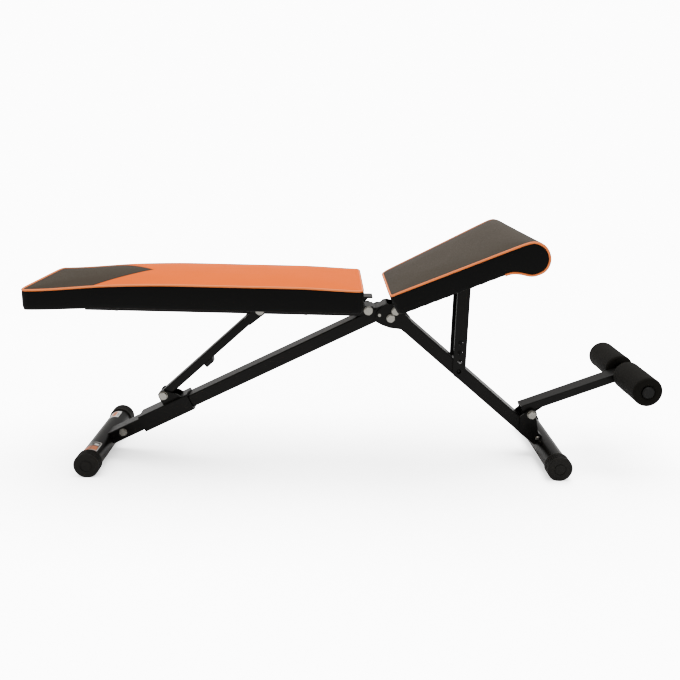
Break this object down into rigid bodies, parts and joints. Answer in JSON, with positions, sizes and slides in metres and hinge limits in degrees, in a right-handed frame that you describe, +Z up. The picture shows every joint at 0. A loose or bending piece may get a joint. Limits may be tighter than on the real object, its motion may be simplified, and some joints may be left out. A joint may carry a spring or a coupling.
{
  "type": "adjustable weight bench",
  "caption": "Folding weight bench with a hinged backrest on a sliding strut, a tapered tilting seat and a foam-roller leg bar.",
  "frame": {"origin": "on the floor, under the middle of the bench's overall length and width", "axes": "+Z up, +X from the backrest's head end towards the leg bar, +Y across the bench along the foot bars, towards the pull knobs"},
  "size_m": [1.4351, 0.426, 0.5623],
  "materials": {
    "black_paint": "satin black powder coat",
    "zinc": "zinc plated",
    "cap_rubber": "matte ribbed rubber",
    "black_plastic": "matte moulded",
    "foam": "matte closed-cell foam skin",
    "backrest_vinyl": "fine-grained orange vinyl with dark grey panels",
    "seat_vinyl": "fine-grained dark grey vinyl with orange piping",
    "plywood": "plain plywood"
  },
  "bodies": {
    "rear_leg": {"rear_foot_tube": "black_paint", "rear_foot_caps": "cap_rubber", "rear_tube": "black_paint", "rear_tube_plug": "black_plastic", "hinge_saddle": "black_paint", "fold_bush": "black_paint", "rear_foot_bolt": "zinc", "hinge_bolt": "zinc", "fold_bolt": "zinc"},
    "backrest": {"back_tube": "black_paint", "back_arms": "black_paint", "back_end_tab": "black_paint", "back_plug": "black_plastic", "back_board": "plywood", "back_pad": "backrest_vinyl", "back_pad_bolts": "zinc"},
    "sleeve": {"sleeve_tube": "black_paint", "sleeve_liner": "black_plastic", "strut_lugs": "black_paint", "strut_lower_bolt": "zinc", "sleeve_barrel": "zinc"},
    "sleeve_pin": {"sleeve_knob": "black_plastic"},
    "strut": {"strut_tube": "black_paint", "strut_fork": "black_paint", "strut_bush": "black_paint", "strut_upper_bolt": "zinc", "strut_bumper": "black_plastic"},
    "front_leg": {"front_foot_tube": "black_paint", "front_foot_caps": "cap_rubber", "front_tube": "black_paint", "hub_plates": "black_paint", "seat_bolt": "zinc", "leg_bracket": "black_paint", "leg_bolt": "zinc", "front_foot_screw": "zinc", "fold_barrel": "zinc", "button_clip": "zinc"},
    "fold_pin": {"fold_knob": "black_plastic"},
    "button_near": {"button_near": "black_plastic"},
    "button_far": {"button_far": "black_plastic"},
    "seat": {"seat_tube": "black_paint", "seat_bush": "black_paint", "seat_plug": "black_plastic", "seat_board": "plywood", "seat_pad": "seat_vinyl", "seat_pad_bolts": "zinc", "channel_bolt": "zinc"},
    "channel": {"seat_channel": "black_paint"},
    "leg_bar": {"leg_tube": "black_paint", "leg_lugs": "black_paint", "axle_tube": "black_paint", "axle_plugs": "black_plastic"},
    "roller_near": {"roller_near": "foam"},
    "roller_far": {"roller_far": "foam"}
  },
  "joints": [
    {"name": "backrest_tilt", "type": "hinge", "parent": "rear_leg", "child": "backrest", "pos_m": [0.05265, 0, 0.3695], "axis": [0, 1, 0], "range_deg": [0, 42]},
    {"name": "sleeve_slide", "type": "slide", "parent": "rear_leg", "child": "sleeve", "axis": [0.8961, 0, 0.4439], "range_m": [0, 0.1925]},
    {"name": "strut_swing", "type": "hinge", "parent": "sleeve", "child": "strut", "pos_m": [-0.44139, 0, 0.15001], "axis": [0, -1, 0], "range_deg": [0, 26.7]},
    {"name": "sleeve_pin_pull", "type": "slide", "parent": "sleeve", "child": "sleeve_pin", "axis": [0, 1, 0], "range_m": [0, 0.008], "stiffness_N_per_m": 800, "springref_m": -0.004},
    {"name": "front_leg_fold", "type": "hinge", "parent": "rear_leg", "child": "front_leg", "pos_m": [0.10605, 0, 0.3515], "axis": [0, 1, 0], "range_deg": [0, 95]},
    {"name": "fold_pin_pull", "type": "slide", "parent": "front_leg", "child": "fold_pin", "axis": [0, 1, 0], "range_m": [0, 0.008], "stiffness_N_per_m": 800, "springref_m": -0.004},
    {"name": "button_near_press", "type": "slide", "parent": "front_leg", "child": "button_near", "axis": [0, 1, 0], "range_m": [0, 0.0035], "stiffness_N_per_m": 500, "springref_m": -0.004},
    {"name": "button_far_press", "type": "slide", "parent": "front_leg", "child": "button_far", "axis": [0, -1, 0], "range_m": [0, 0.0035], "stiffness_N_per_m": 500, "springref_m": -0.004},
    {"name": "seat_tilt", "type": "hinge", "parent": "front_leg", "child": "seat", "pos_m": [0.11735, 0, 0.3689], "axis": [0, 1, 0], "range_deg": [0, 24.59]},
    {"name": "channel_swing", "type": "hinge", "parent": "seat", "child": "channel", "pos_m": [0.27686, 0, 0.44328], "axis": [0, 1, 0], "range_deg": [-18.2, 0]},
    {"name": "leg_bar_lift", "type": "hinge", "parent": "front_leg", "child": "leg_bar", "pos_m": [0.45945, 0, 0.1119], "axis": [0, -1, 0], "range_deg": [0, 38]},
    {"name": "roller_near_spin", "type": "hinge", "parent": "leg_bar", "child": "roller_near", "pos_m": [0.68449, 0, 0.21489], "axis": [0, 1, 0], "continuous": true},
    {"name": "roller_far_spin", "type": "hinge", "parent": "leg_bar", "child": "roller_far", "pos_m": [0.68449, 0, 0.21489], "axis": [0, 1, 0], "continuous": true}
  ],
  "couplings": [
    {"joint": "sleeve_slide", "follows": "backrest_tilt", "m_per_rad": 0.26105},
    {"joint": "strut_swing", "follows": "backrest_tilt", "ratio": 0.63131},
    {"joint": "channel_swing", "follows": "seat_tilt", "ratio": -0.73525}
  ]
}
